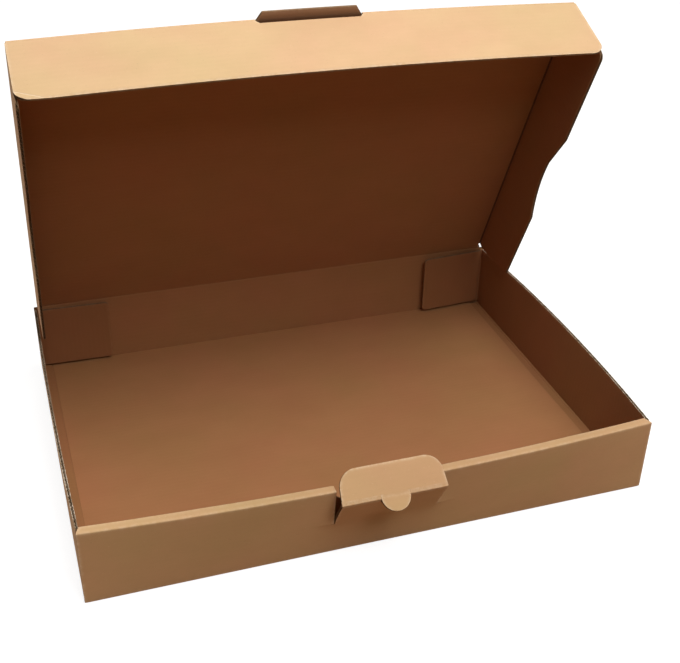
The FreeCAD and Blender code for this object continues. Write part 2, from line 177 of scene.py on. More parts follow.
def leaf(board, low, high, left, right, sides="cc", ends="cc", lines=(), marks=(), crush=None, step=9.0,
         seed=0.0, uneven=0.16, facing=1, fray=even(1.0), pinch=None, lining=INSIDE):
    """One stretch of board between v = low and high, and between the curves u = left(v) and right(v). The
    flutes run along u. Letters say which sides (low, high) and ends (left, right) are cut: c cut,
    j joined to more board. Rows of points are added at lines, and columns at marks from the left. Fray
    says how pale the cut ends are along v. Pinch gives the distance from a crease that the board folds
    far over at: the inner half is pressed thin there. Lining is the number of the inner paper."""
    rows = np.linspace(low, high, max(2, int((high - low) / step) + 2))
    extra = [low + EDGE_STEPS, high - EDGE_STEPS, np.array(lines, float)]
    rows = np.sort(np.concatenate([rows, *extra]))
    rows = rows[(rows >= low) & (rows <= high)]
    rows = rows[np.concatenate([[True], np.diff(rows) > 0.02])]
    rows[-1] = high
    start, stop = left(rows), right(rows)
    wide = np.maximum(stop - start, 0.02)
    squeeze = np.minimum(1.0, wide / 4.6)
    inner = np.linspace(0, 1, max(3, int(wide.max() / (step * 1.3)) + 2))[1:-1]
    margin = EDGE_STEPS[-1] * squeeze
    columns = [start[:, None] + EDGE_STEPS[None] * squeeze[:, None],
               (start + margin)[:, None] + (wide - 2 * margin)[:, None] * inner[None],
               stop[:, None] - EDGE_STEPS[None, ::-1] * squeeze[:, None]]
    columns.append(start[:, None] + np.array(marks, float)[None])
    u = np.sort(np.concatenate(columns, 1), 1)
    v = np.repeat(rows[:, None], u.shape[1], 1)
    far = 1e3
    end_gap = np.minimum(u - start[:, None] if ends[0] == "c" else far,
                         stop[:, None] - u if ends[1] == "c" else far)
    side_gap = np.minimum(v - low if sides[0] == "c" else far, high - v if sides[1] == "c" else far)
    half = HALF_BOARD * (1 - END_THIN * np.exp(-(end_gap / CUT_REACH) ** 2))
    half = half * (1 - SIDE_THIN * np.exp(-(side_gap / CUT_REACH) ** 2))
    worn = np.exp(-(np.minimum(end_gap, side_gap) / RUB_REACH) ** 2)
    if crush:
        pressed = crush(v)
        half = half * (1 - 0.06 * pressed)
        worn = np.maximum(worn, 0.45 * pressed)
    halves = {1: half, -1: np.minimum(half, pinch(u, v) * PRESSED) if pinch else half}
    border = np.minimum(np.minimum(u - start[:, None], stop[:, None] - u),
                        np.minimum(v - low, high - v))
    swell = uneven * ease(border / SWELL_FROM) * (waver(u, seed, 83) + waver(v, seed + 3, 57)) * 0.7
    rim = border < FLUTES_IN
    keep = rim[:-1, :-1] | rim[1:, 1:] | rim[:-1, 1:] | rim[1:, :-1]
    for side, paper in ((1, OUTSIDE), (-1, lining)):
        board.face(u, v, swell + side * halves[side], worn, paper, flip=side * facing < 0)
        board.face(u, v, swell + side * (halves[side] - LINER), worn, RAW, flip=side * facing > 0,
                   keep=keep)
        for column, cut, turn in ((0, ends[0], 1), (-1, ends[1], -1)):
            if cut == "c":
                edge = (swell + side * halves[side])[:, column]
                lip = np.stack([edge, edge - side * LINER], 1)
                board.face(np.repeat(u[:, column][:, None], 2, 1), np.repeat(rows[:, None], 2, 1), lip,
                           fray(rows)[:, None], RAW, flip=side * turn * facing < 0)
    for row, cut, turn in ((0, sides[0], -1), (-1, sides[1], 1)):
        if cut == "c":
            lip = np.stack([(swell + halves[1])[row], (swell - halves[-1])[row]], 0)
            board.face(np.repeat(u[row][None], 2, 0), np.full((2, u.shape[1]), rows[row]), lip, 1.0, RAW,
                       flip=turn * facing > 0)
    waves = np.arange(low, high, FLUTE / 8)
    waves = waves[(waves > low + 0.2) & (waves < high - 0.2)]
    if len(waves) < 3:
        return
    for column, cut, turn in ((0, ends[0], 1), (-1, ends[1], -1)):
        if cut != "c":
            continue
        edge = np.interp(waves, rows, u[:, column])
        span = np.interp(waves, rows, wide)
        tall = np.interp(waves, rows, half[:, column]) - LINER - MEDIUM
        base = np.interp(waves, rows, swell[:, column])
        wave = base + tall * np.cos(waves * 2 * math.pi / FLUTE)
        reach = np.stack([edge + turn * 0.12, edge + turn * np.minimum(FLUTES_IN, span * 0.5)], 1)
        along = np.repeat(waves[:, None], 2, 1)
        for skin in (1, -1):
            level = np.repeat((wave + skin * MEDIUM)[:, None], 2, 1)
            board.face(reach, along, level, 0.3, RAW, flip=skin * turn * facing < 0)
        cap = np.stack([wave + MEDIUM, wave - MEDIUM], 1)
        board.face(np.repeat(reach[:, :1], 2, 1), along, cap, 0.3, RAW, flip=turn * facing < 0)


run, folds, run_long = folded_run([(-INNER_LAYER, INNER_FOOT), (-INNER_LAYER, HIGH - HALF_BOARD),
                                   (-OUTER_LAYER, HIGH - HALF_BOARD), (-OUTER_LAYER, HALF_BOARD),
                                   (OUTER_LAYER, HALF_BOARD), (OUTER_LAYER, HIGH + 0.3)])
inner_fold, outer_fold, foot_fold, rear_fold = folds


def fold_press(places, reach=1.1):
    """How hard the board is crushed at a length along it: 1 in the middle of a fold."""
    return lambda v: np.max([np.exp(-((v - place) / reach) ** 2) for place in places], 0)


def front_bulge(x, z):
    return FRONT_BOW * (1 - (x / HALF_LONG) ** 2) * np.clip((z - HALF_BOARD) / (HIGH - HALF_BOARD), 0, 1.02)


LEAN = math.radians(30)
BEND = 26.0            # radius of the soft bend at the foot of the leaning middle
LIFT_END, LIFT_FADE = 40.0, 14.0      # the lean lifts the wall beside it out to here, fading over this


def lean_out(rise, x):
    """How far the front stands out around the foot of the leaning middle, rise above that foot."""
    ahead = BEND * math.tan(LEAN / 2)
    bent = np.clip(rise + ahead, 0, None)
    full = np.where(bent < BEND * math.sin(LEAN), BEND - np.sqrt(np.maximum(BEND ** 2 - bent ** 2, 0)),
                    np.maximum(rise, 0) * math.tan(LEAN))
    spread = ease((LIFT_END - np.abs(x)) / LIFT_FADE)
    return full * (spread + (1 - spread) * ease(rise / 5))


def front_to_back(u, v, w):
    y, z = run(v, w)
    at_front = y < -HALF_DEEP / 2
    outer = at_front & (v > outer_fold + 4)
    y = y - np.where(at_front, front_bulge(u, z), 0)
    settle = lean_out(np.zeros_like(z), u) * (1 - ease((z - SLIT_FOOT) / 9))
    y = y - np.where(outer, np.where(z > SLIT_FOOT, settle, lean_out(z - SLIT_FOOT, u)), 0)
    return u, np.minimum(y, HALF_DEEP), np.maximum(z, 0)


slit_at = outer_fold + (HIGH - HALF_BOARD) - SLIT_FOOT
notch_at = NOTCH_LOW - INNER_FOOT
press = fold_press(folds)
tray_run = Board(front_to_back)
NEAR_FOLD = (-1.6, -1.1, -0.7, -0.4, -0.2, -0.08, 0, 0.08, 0.2, 0.4, 0.7, 1.1, 1.6)
fold_lines = [place + shift for place in folds for shift in NEAR_FOLD]


def lines_in(low, high):
    return [line for line in fold_lines if low < line < high]


leaf(tray_run, 0, notch_at, even(-INNER_HALF), even(INNER_HALF), sides="cj", seed=1, crush=press)


def roll_half_long(v):
    return np.interp(v, [inner_fold - 3, inner_fold + 1, outer_fold], [INNER_HALF, 173.6, HALF_LONG])


def notch_side(v):
    rise = np.clip(NOTCH_CORNER - (v - notch_at), 0, NOTCH_CORNER)
    return TAB_HALF - NOTCH_CORNER + np.sqrt(NOTCH_CORNER ** 2 - rise ** 2)


corner_lines = [notch_at + step for step in (0.1, 0.4, 0.9, 1.6, 2.6, 4, 6, 8.5, 11)]
roll_lines = lines_in(notch_at, slit_at) + corner_lines
leaf(tray_run, notch_at, slit_at, lambda v: -roll_half_long(v), lambda v: -notch_side(v), sides="jj",
     lines=roll_lines, crush=press, seed=2)
leaf(tray_run, notch_at, slit_at, notch_side, roll_half_long, sides="jj", lines=roll_lines, crush=press,
     seed=3)
floor_start = foot_fold + OUTER_LAYER - FLOOR_FRONT
floor_stop = rear_fold - OUTER_LAYER + REAR_AXIS
leaf(tray_run, slit_at, floor_start, even(-HALF_LONG), even(HALF_LONG), sides="jj",
     lines=lines_in(slit_at, floor_start), crush=press, step=5, seed=4)
leaf(tray_run, floor_start, floor_stop, even(-FLOOR_EDGE), even(FLOOR_EDGE), sides="jj", ends="jj", seed=5,
     uneven=0.2)
leaf(tray_run, floor_stop, run_long, even(-HALF_LONG), even(HALF_LONG), sides="jj",
     lines=lines_in(floor_stop, run_long), crush=press, seed=6)


def node_group(name, inputs, outputs):
    group = bpy.data.node_groups.new(name, "ShaderNodeTree")
    for kind, label, value in inputs:
        socket = group.interface.new_socket(label, in_out="INPUT", socket_type=kind)
        if value is not None:
            socket.default_value = value
    for kind, label in outputs:
        group.interface.new_socket(label, in_out="OUTPUT", socket_type=kind)
    return group, group.nodes.new("NodeGroupInput"), group.nodes.new("NodeGroupOutput")


def math_node(tree, kind, first, second=None, clamp=False):
    node = tree.nodes.new("ShaderNodeMath")
    node.operation = kind
    node.use_clamp = clamp
    for socket, value in zip(node.inputs, (first, second)):
        if isinstance(value, (int, float)):
            socket.default_value = value
        elif value is not None:
            tree.links.new(value, socket)
    return node.outputs[0]


def stretched(tree, vector, scale):
    node = tree.nodes.new("ShaderNodeVectorMath")
    node.operation = "MULTIPLY"
    node.inputs[1].default_value = scale
    tree.links.new(vector, node.inputs[0])
    return node.outputs[0]


def noise(tree, vector, scale, detail=3.0, rough=0.55):
    node = tree.nodes.new("ShaderNodeTexNoise")
    node.inputs["Scale"].default_value = scale
    node.inputs["Detail"].default_value = detail
    node.inputs["Roughness"].default_value = rough
    tree.links.new(vector, node.inputs["Vector"])
    return node.outputs["Fac"]


# Kraft pulp: long fibres lying mostly along the machine direction, cloudy where they bunch, with a few
# dark and pale flecks.
FIBRE, inside, outside = node_group(
    "kraft_fibre", [("NodeSocketVector", "Sheet", None)],
    [("NodeSocketFloat", "Cloud"), ("NodeSocketFloat", "Fibre"), ("NodeSocketFloat", "Dark flecks"),
     ("NodeSocketFloat", "Pale flecks"), ("NodeSocketFloat", "Drift"), ("NodeSocketFloat", "Height")])
sheet = inside.outputs["Sheet"]
cloud = noise(FIBRE, stretched(FIBRE, sheet, (1, 1.6, 1)), 22, 5, 0.6)
strands = noise(FIBRE, stretched(FIBRE, sheet, (1, 7, 1)), 420, 3, 0.6)
fine = noise(FIBRE, stretched(FIBRE, sheet, (1, 2.2, 1)), 1500, 2, 0.5)
flecks = noise(FIBRE, stretched(FIBRE, sheet, (1, 3, 1)), 640, 1, 0.5)
FIBRE.links.new(cloud, outside.inputs["Cloud"])
mixed = math_node(FIBRE, "ADD", math_node(FIBRE, "MULTIPLY", strands, 0.6),
                  math_node(FIBRE, "MULTIPLY", fine, 0.4))
FIBRE.links.new(mixed, outside.inputs["Fibre"])
dark = math_node(FIBRE, "MULTIPLY", math_node(FIBRE, "SUBTRACT", flecks, 0.70), 14, True)
pale = math_node(FIBRE, "MULTIPLY", math_node(FIBRE, "SUBTRACT", 0.29, flecks), 14, True)
FIBRE.links.new(dark, outside.inputs["Dark flecks"])
FIBRE.links.new(pale, outside.inputs["Pale flecks"])
FIBRE.links.new(mixed, outside.inputs["Height"])
drift = math_node(FIBRE, "SUBTRACT", noise(FIBRE, sheet, 11, 3), 0.32)
drift = math_node(FIBRE, "MULTIPLY", drift, 2.8, True)
FIBRE.links.new(drift, outside.inputs["Drift"])

# Washboard: the papers dip slightly between the flutes that they are glued to.
RIBS, inside, outside = node_group(
    "flute_ribs", [("NodeSocketVector", "Sheet", None), ("NodeSocketFloat", "Pitch", FLUTE / 1000)],
    [("NodeSocketFloat", "Rib")])
split = RIBS.nodes.new("ShaderNodeSeparateXYZ")
RIBS.links.new(inside.outputs["Sheet"], split.inputs[0])
drift = math_node(RIBS, "MULTIPLY", noise(RIBS, inside.outputs["Sheet"], 30, 2), 0.0012)
turns = math_node(RIBS, "ADD", split.outputs["Y"], drift)
turns = math_node(RIBS, "DIVIDE", turns, inside.outputs["Pitch"])
wave = math_node(RIBS, "COSINE", math_node(RIBS, "MULTIPLY", turns, 2 * math.pi))
patchy = math_node(RIBS, "MULTIPLY", noise(RIBS, inside.outputs["Sheet"], 14, 2), 1.1)
patchy = math_node(RIBS, "ADD", patchy, -0.1, True)
RIBS.links.new(math_node(RIBS, "MULTIPLY", wave, patchy), outside.inputs["Rib"])

# Rubbing: folds and cut edges lose their smooth surface and show paler, broken fibre.
RUBBED, inside, outside = node_group(
    "rubbed_edges", [("NodeSocketVector", "Sheet", None), ("NodeSocketFloat", "Worn", 0.0)],
    [("NodeSocketFloat", "Rub")])
broken = noise(RUBBED, inside.outputs["Sheet"], 260, 4, 0.7)
rub = math_node(RUBBED, "MULTIPLY", inside.outputs["Worn"],
                math_node(RUBBED, "MULTIPLY", math_node(RUBBED, "SUBTRACT", broken, 0.36), 3.2, True))
RUBBED.links.new(rub, outside.inputs["Rub"])


DEEP, LIGHT = (0.86, 0.83, 0.79), (1.07, 1.08, 1.10)       # shares of a paper's colour in its clouds
PINK, OLIVE = (1.04, 0.965, 0.98), (0.965, 1.02, 0.93)     # slow drift of the hue over a sheet


def kraft(name, colour, rib=0.5, fuzz=0.5, rubbed=(0.80, 0.62, 0.42), rough=0.82, dent=None):
    """Unbleached kraft paper of one colour. A dent is a group that marks creases on the sheet."""
    paper = bpy.data.materials.new(name)
    paper.use_nodes = True
    tree = paper.node_tree
    shader = tree.nodes["Principled BSDF"]
    flat = tree.nodes.new("ShaderNodeUVMap")
    flat.uv_map = "sheet"
    worn = tree.nodes.new("ShaderNodeAttribute")
    worn.attribute_name = "worn"
    groups = []
    for group in (FIBRE, RIBS, RUBBED):
        node = tree.nodes.new("ShaderNodeGroup")
        node.node_tree = group
        tree.links.new(flat.outputs["UV"], node.inputs["Sheet"])
        groups.append(node)
    fibre, ribs, rubs = groups
    tree.links.new(worn.outputs["Fac"], rubs.inputs["Worn"])

    def mix(amount, first, second, kind="MIX"):
        node = tree.nodes.new("ShaderNodeMix")
        node.data_type = "RGBA"
        node.blend_type = kind
        sockets = (node.inputs["Factor"], node.inputs[6], node.inputs[7])
        for socket, value in zip(sockets, (amount, first, second)):
            if isinstance(value, (int, float)):
                socket.default_value = value
            elif isinstance(value, tuple):
                socket.default_value = (*value, 1)
            else:
                tree.links.new(value, socket)
        return node.outputs[2]

    deep = tuple(part * share for part, share in zip(colour, DEEP))
    light = tuple(min(1, part * share) for part, share in zip(colour, LIGHT))
    tone = mix(fibre.outputs["Cloud"], deep, light)
    tone = mix(math_node(tree, "MULTIPLY", fibre.outputs["Fibre"], 0.22), tone, deep)
    tone = mix(1.0, tone, mix(fibre.outputs["Drift"], PINK, OLIVE), "MULTIPLY")
    tone = mix(math_node(tree, "MULTIPLY", fibre.outputs["Dark flecks"], 0.35), tone,
               tuple(part * 0.55 for part in colour))
    tone = mix(math_node(tree, "MULTIPLY", fibre.outputs["Pale flecks"], 0.30), tone, rubbed)
    shade = math_node(tree, "ADD", math_node(tree, "MULTIPLY", ribs.outputs["Rib"], 0.022 * rib), 0.978)
    grey = tree.nodes.new("ShaderNodeCombineColor")
    for channel in grey.inputs:
        tree.links.new(shade, channel)
    tone = mix(1.0, tone, grey.outputs[0], "MULTIPLY")
    tone = mix(math_node(tree, "MULTIPLY", rubs.outputs["Rub"], fuzz), tone, rubbed)
    if dent:
        creases = tree.nodes.new("ShaderNodeGroup")
        creases.node_tree = dent
        tree.links.new(flat.outputs["UV"], creases.inputs["Sheet"])
        # Painted shade: the crease's valley beside its ridge is darkened. The ridge shows paler rubbed
        # fibre.
        tone = mix(math_node(tree, "MULTIPLY", creases.outputs["Valley shade"], 0.45), tone, deep)
        tone = mix(math_node(tree, "MULTIPLY", creases.outputs["Ridge"], 0.85), tone, rubbed)
    tree.links.new(tone, shader.inputs["Base Color"])
    dull = math_node(tree, "ADD", math_node(tree, "MULTIPLY", fibre.outputs["Cloud"], 0.14), rough - 0.07)
    tree.links.new(dull, shader.inputs["Roughness"])
    shader.inputs["Specular IOR Level"].default_value = 0.28
    height = math_node(tree, "ADD", math_node(tree, "MULTIPLY", fibre.outputs["Height"], 0.05),
                       math_node(tree, "MULTIPLY", ribs.outputs["Rib"], 0.05 * rib))
    height = math_node(tree, "ADD", height, math_node(tree, "MULTIPLY", rubs.outputs["Rub"], 0.12))
    if dent:
        height = math_node(tree, "ADD", height, math_node(tree, "MULTIPLY", creases.outputs["Ridge"], 0.3))
    bump = tree.nodes.new("ShaderNodeBump")
    bump.inputs["Strength"].default_value = 0.6
    bump.inputs["Distance"].default_value = 0.001
    tree.links.new(height, bump.inputs["Height"])
    tree.links.new(bump.outputs[0], shader.inputs["Normal"])
    return paper


OUTER_LOOK = {"rib": 0.35, "fuzz": 0.75, "rubbed": (0.90, 0.70, 0.47)}
OUTER_PAPER = kraft("kraft_outer", (0.715, 0.440, 0.228), **OUTER_LOOK)
# The inner liner is a darker kraft. It is set darker and more saturated still as painted shade for the
# inside of the box.
INNER_PAPER = kraft("kraft_inner", (0.42, 0.192, 0.081), rib=0.8, fuzz=0.4, rubbed=(0.44, 0.24, 0.12))
# Cut edges are dark partly as raw fibre and partly as painted shade of the flutes and the cut.
CUT_PAPER = kraft("kraft_cut_edge", (0.26, 0.15, 0.075), rib=0.0, rubbed=(0.40, 0.26, 0.15), rough=0.95)
PAPERS = (OUTER_PAPER, INNER_PAPER, CUT_PAPER)

tray_board = tray_run.made("tray_front_floor_back", "tray", PAPERS)
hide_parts("tray")

# ------------------------------------------------------------------------------------------------
# Leaning middle of the front: the part of the outer front panel between the two slits, pushed out
# from behind. Its upper edge has the half-round hole that the thumb piece was cut from.
# ------------------------------------------------------------------------------------------------

SLIT_LONG = 26.0
MIDDLE_HALF = 31.85
THUMB, THUMB_HOLE = 8.7, 9.1      # radii of the thumb piece and of the hole that it left
TAB_START = 1.96       # from the tab's crease to the flat board on each side
FOOT_OUT = OUTER_LAYER + FRONT_BOW * (SLIT_FOOT - HALF_BOARD) / (HIGH - HALF_BOARD)
TAB_AXIS = (-FOOT_OUT - SLIT_LONG * math.sin(LEAN), SLIT_FOOT + SLIT_LONG * math.cos(LEAN))


def leaning(u, v, w):
    """v runs down the sheet as on the wall; the climb is measured up from the slits' ends."""
    climb = slit_at - v
    spread = ease((62 - np.abs(u)) / 36)
    soft = spread + (1 - spread) * ease(climb / 5)
    ahead = BEND * math.tan(LEAN / 2)
    arc = np.clip(climb, 0, ahead)
    steep = LEAN / 2 + arc / ahead * LEAN / 2
    rise_arc = BEND * (np.sin(steep) - math.sin(LEAN / 2))
    out_arc = BEND * (math.cos(LEAN / 2) - np.cos(steep))
    rest = np.maximum(climb - ahead, 0)
    rise = rise_arc + rest * math.cos(LEAN)
    out = BEND * (1 - math.cos(LEAN / 2)) + out_arc + rest * math.sin(LEAN)
    foot = OUTER_LAYER + front_bulge(u, SLIT_FOOT)
    flat = ease(climb / SLIT_LONG)
    foot = foot * (1 - flat) + FOOT_OUT * flat
    y = -foot - out * soft - w * np.cos(steep)
    z = SLIT_FOOT + rise - w * np.sin(steep)
    return u, y, z


top_at = slit_at - SLIT_LONG


def hole_side(v):
    down = np.clip(v - top_at, 0, THUMB_HOLE)
    return np.sqrt(THUMB_HOLE ** 2 - down ** 2)


middle = Board(leaning)
hole_lines = [top_at + THUMB_HOLE * step for step in (0.3, 0.45, 0.6, 0.72, 0.82, 0.9, 0.95, 0.98, 0.995)]
leaf(middle, top_at + THUMB_HOLE, slit_at, even(-MIDDLE_HALF), even(MIDDLE_HALF), sides="jj", step=3,
     seed=7, uneven=0.1)
for start, stop in ((even(-MIDDLE_HALF), lambda v: -hole_side(v)), (hole_side, even(MIDDLE_HALF))):
    leaf(middle, top_at + TAB_START, top_at + THUMB_HOLE, start, stop, sides="jj", lines=hole_lines, step=2,
         seed=7, uneven=0.0)
middle_board = middle.made("tray_leaning_middle", "tray", PAPERS)

# ------------------------------------------------------------------------------------------------
# Side walls: single board, folded up from the floor, with a raw top edge where the flutes end; the left
# one is torn towards the front. There each goes on as a corner flap, caught inside the double front wall.
# ------------------------------------------------------------------------------------------------

SIDE_LAYER = HALF_LONG - HALF_BOARD
WALL_FRONT, WALL_REAR = -119.9, 120.4
CAUGHT_LAYER = 121.85  # middle of the caught corner flaps, from the centre line
BEADS = {-1: (6.6, 1.5), 1: (2.6, 0.5)}     # reach and height of the inner paper's bead at a wall's foot
side_run, side_folds, side_long = folded_run([(FLOOR_EDGE, HALF_BOARD), (SIDE_LAYER, HALF_BOARD),
                                              (SIDE_LAYER, HIGH)], blunt=0.4)
caught_run, caught_folds, caught_long = folded_run([(WALL_FRONT, SIDE_LAYER), (-CAUGHT_LAYER, SIDE_LAYER),
                                                    (-CAUGHT_LAYER, 126.0)])
BEAD_MARKS = [side * share for side in (-1, 1) for share in (0.4, 0.58, 0.74, 0.86, 0.94, 0.985, 1.0)]


def side_bulge(y, z, bow):
    middle_y = (WALL_FRONT + REAR_AXIS) / 2
    half = (REAR_AXIS - WALL_FRONT) / 2
    share = np.clip(1 - ((y - middle_y) / half) ** 2, 0, 1)
    return bow * share * np.clip((z - HALF_BOARD) / (HIGH - HALF_BOARD), 0, 1.02)


def side_wall(hand, bow):
    """Floor edge and wall of one side. The inner paper is pushed up to a bead along the foot, which fades
    out to the front."""
    def place(u, v, w):
        x, z = side_run(u, w)
        reach, height = BEADS[hand]
        past = (u - side_folds[0]) / reach
        swell = np.where(past < 0, np.sqrt(np.maximum(1 - past ** 2, 0)), np.clip(1 - past, 0, 1))
        swell = swell * ease((v + 110) / 150)
        z = np.maximum(z + height * swell * np.clip(-w / HALF_BOARD, 0, 1), 0)
        return hand * (x + side_bulge(v, z, bow)), v, z
    return place


def caught_flap(hand):
    def place(u, v, w):
        y, x = caught_run(v, w)
        return hand * x, y - front_bulge(x, u), u
    return place


# Inner paper of the side walls, the lid's side flaps and the rear corner flaps: kraft_inner painted darker
# as the shade these faces lie in.
PAINTED_SHADE_INNER = kraft("kraft_inner_painted_shade", (0.35, 0.153, 0.062), rib=0.6, fuzz=0.4, rubbed=(0.40, 0.21, 0.10))
# The torn edge's dark base is partly painted shade, as on the cut edges. Its pale rubbed fibres are its
# own.
TORN_PAPER = kraft("kraft_torn_edge", (0.27, 0.17, 0.09), rib=0.0, fuzz=1.0, rubbed=(0.93, 0.79, 0.62),
                   rough=0.95)


def torn_part(v):
    """Where along the left wall its top edge is torn: 1 near the front, 0 behind the middle."""
    return ease((v + 118) / 10) * ease((-4 - v) / 34)


def rear_end(u, v):
    """How far a spot of a side wall is from the rear corner's crease. The floor's edge isn't pinched."""
    return np.where(u > side_folds[0] + 1.5, REAR_AXIS - v, HALF_DEEP)


def sound_top(v):
    return side_long + 0.05 - 0.12 * np.abs(waver(v, 6, 7.3))


def torn_top(v):
    return side_long + 0.05 - (0.1 + 0.55 * torn_part(v)) * np.abs(waver(v, 4, 7.3))


for hand, word, bow in ((1, "right", RIGHT_BOW), (-1, "left", LEFT_BOW)):
    wall = Board(side_wall(hand, bow))
    bead_marks = [BEADS[hand][0] * share for share in BEAD_MARKS]
    marks = [side_folds[0] + step for step in (*NEAR_FOLD, *bead_marks)]
    if hand > 0:
        leaf(wall, WALL_FRONT, WALL_REAR, even(0.0), sound_top, sides="jj", ends="jc", marks=marks, step=6,
             seed=9, uneven=0.12, pinch=rear_end)
    else:
        leaf(wall, WALL_FRONT, WALL_REAR, even(0.0), torn_top, sides="jj", ends="jc", marks=marks, step=2.2,
             seed=7, uneven=0.12, facing=-1, fray=lambda v: 0.2 + 0.8 * torn_part(v), pinch=rear_end)
    wall.made(f"tray_{word}_wall", "tray", (OUTER_PAPER, PAINTED_SHADE_INNER, TORN_PAPER))
    flap = Board(caught_flap(hand))
    drop = caught_folds[0]
    leaf(flap, 0.0, caught_long, even(0.6), lambda v: HIGH - 2.4 * ease((v - drop + 1.0) / 2.2), sides="jc",
         lines=[drop + step for step in NEAR_FOLD], crush=fold_press(caught_folds), seed=12, uneven=0.0,
         facing=-hand)
    flap.made(f"tray_{word}_caught_flap", "tray", PAPERS)

# ------------------------------------------------------------------------------------------------
# Lid: one flat panel, 345 mm wide, with the tongue that was cut out of the front flap standing on in
# its plane. It hangs on the back wall by a crease.
# ------------------------------------------------------------------------------------------------

GAP = 1.2              # from a crease's middle to the flat board on each side
HINGE = np.array([0.0, 124.0, 51.5])
OPEN = math.radians(66.5)
ACROSS = np.array([1.0, 0.0, 0.0])
LID_WAY = np.array([0.0, -math.cos(OPEN), math.sin(OPEN)])       # from the hinge to the lid's front edge
LID_IN = np.array([0.0, -math.sin(OPEN), -math.cos(OPEN)])       # towards the inside of the box
LID_HALF = 171.7
REACH = 236.702        # from the hinge to the front crease
FLAP_DEEP = 47.2
TONGUE_ROOT, TONGUE_TIP, TONGUE_LONG = 32.25, 28.75, 5.3    # half widths, and length past the crease
LID_BOW = 2.1          # how far the open lid's front edge bows: up in the middle, down at its ends
TONGUE_BACK = 0.25     # slope at which the tongue leans back from the lid
TONGUE = 3             # number of the tongue's inner paper, a copy of kraft_inner painted darker as shade


def flat_place(origin, u_way, v_way, w_way):
    def place(u, v, w):
        return tuple(origin[i] + u * u_way[i] + v * v_way[i] + w * w_way[i] for i in range(3))
    return place


def bowed(place):
    """The same place on the lid and its flaps, with the lid's soft bow."""
    def bent(u, v, w):
        x, y, z = place(u, v, w)
        up = (y - HINGE[1]) * LID_WAY[1] + (z - HINGE[2]) * LID_WAY[2]
        across = np.clip(np.abs(x), 0, LID_HALF) / LID_HALF
        bow = LID_BOW * (1 - 2 * across ** 2) * np.clip(up / REACH, 0, 1) ** 1.6
        bow = bow + TONGUE_BACK * np.clip(up - REACH - HALF_BOARD * 1.05, 0, None)
        return x, y - LID_IN[1] * bow, z - LID_IN[2] * bow
    return bent


def tongue_side(v):
    return np.interp(v, [REACH, REACH + TONGUE_LONG], [TONGUE_ROOT, TONGUE_TIP])


lid = Board(bowed(flat_place(HINGE, ACROSS, LID_WAY, -LID_IN)))
leaf(lid, GAP, REACH - GAP, even(GAP - LID_HALF), even(LID_HALF - GAP), sides="jj", ends="jj", seed=13,
     uneven=0.5, facing=-1, pinch=lambda u, v: LID_HALF - np.abs(u))
leaf(lid, REACH - GAP, REACH + TONGUE_LONG, lambda v: -tongue_side(v), tongue_side, sides="jc",
     lines=[REACH], seed=14, uneven=0.0, facing=-1, lining=TONGUE)
# The tongue's inner paper is kraft_inner painted darker: painted shade.
TONGUE_SHADE_PAPER = kraft("kraft_inner_tongue_painted_shade", (0.275, 0.140, 0.072), rib=0.8, fuzz=0.4,
                     rubbed=(0.36, 0.20, 0.11))
lid_board = lid.made("lid_panel", "lid", (*PAPERS, TONGUE_SHADE_PAPER))
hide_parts("lid")


def as_built(u, v, w):
    return u, v, w


def crease(name, origin, along, near, far, into, into_out, onto, onto_out, gap,
           shape=as_built, papers=PAPERS, inner=(HALF_BOARD, 0.75)):
    """A scored fold between two bodies. The board goes from the panel that lies along into, round the line
    through origin, to the panel that lies along onto; the two out vectors point to its outer side. Score
    and bend have crushed it, so that it is thinner there. Inner gives the inner half's thickness at its
    ends and in its middle."""
    def thick(distance):
        return HALF_BOARD * (1 - 0.25 * math.exp(-(distance / 0.9) ** 2))

    turn = math.acos(max(-1.0, min(1.0, float(into_out @ onto_out))))
    steps = [gap, gap * 0.7, gap * 0.45, gap * 0.2, 0.0]
    skin = [into * step + into_out * thick(step) for step in steps]
    for part in (0.2, 0.4, 0.6, 0.8):
        skin.append((into_out * math.sin(turn * (1 - part)) + onto_out * math.sin(turn * part))
                    / math.sin(turn) * thick(0.0))
    skin += [onto * step + onto_out * thick(step) for step in steps[::-1]]
    nook = -(into_out + onto_out) * inner[1] / (1 + float(into_out @ onto_out))
    lining = [into * gap - into_out * inner[0], nook, onto * gap - onto_out * inner[0]]
    strip = Board(shape)
    stations = np.linspace(near, far, max(2, int(abs(far - near) / 12) + 2))
    for line, paper in ((skin, OUTSIDE), (lining, INSIDE)):
        line = np.array(line)
        spots = origin + stations[:, None, None] * along + line[None]
        run_on = np.concatenate([[0], np.cumsum(np.linalg.norm(np.diff(line, axis=0), axis=1))])
        count = strip.count
        strip.face(*(spots[..., axis] for axis in range(3)), np.full(spots.shape[:2], 0.5), paper)
        strip.sheet[-1] = np.stack(np.broadcast_arrays(stations[:, None], run_on[None]),
                                   -1).reshape(-1, 2) / 1000
        quad = strip.quads[-1][len(strip.quads[-1]) // 2] - count
        flat = spots.reshape(-1, 3)[quad]
        normal = np.cross(flat[1] - flat[0], flat[2] - flat[0])
        outer = (into_out + onto_out) * (1 if paper == OUTSIDE else -1)
        if float(normal @ outer) < 0:
            strip.quads[-1] = strip.quads[-1][:, ::-1]
    for station in (near, far):
        top = np.array(skin)
        bottom = np.array([lining[0] + (lining[1] - lining[0]) * min(1, 2 * t) if t < 0.5
                           else lining[1] + (lining[2] - lining[1]) * (2 * t - 1)
                           for t in np.linspace(0, 1, len(skin))])
        spots = origin + station * along + np.stack([top, bottom])
        strip.face(*(spots[..., axis] for axis in range(3)), np.full((2, len(skin)), 1.0), RAW)
    piece = strip.made(name, None, papers, crisp=60)
    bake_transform(piece)
    return piece


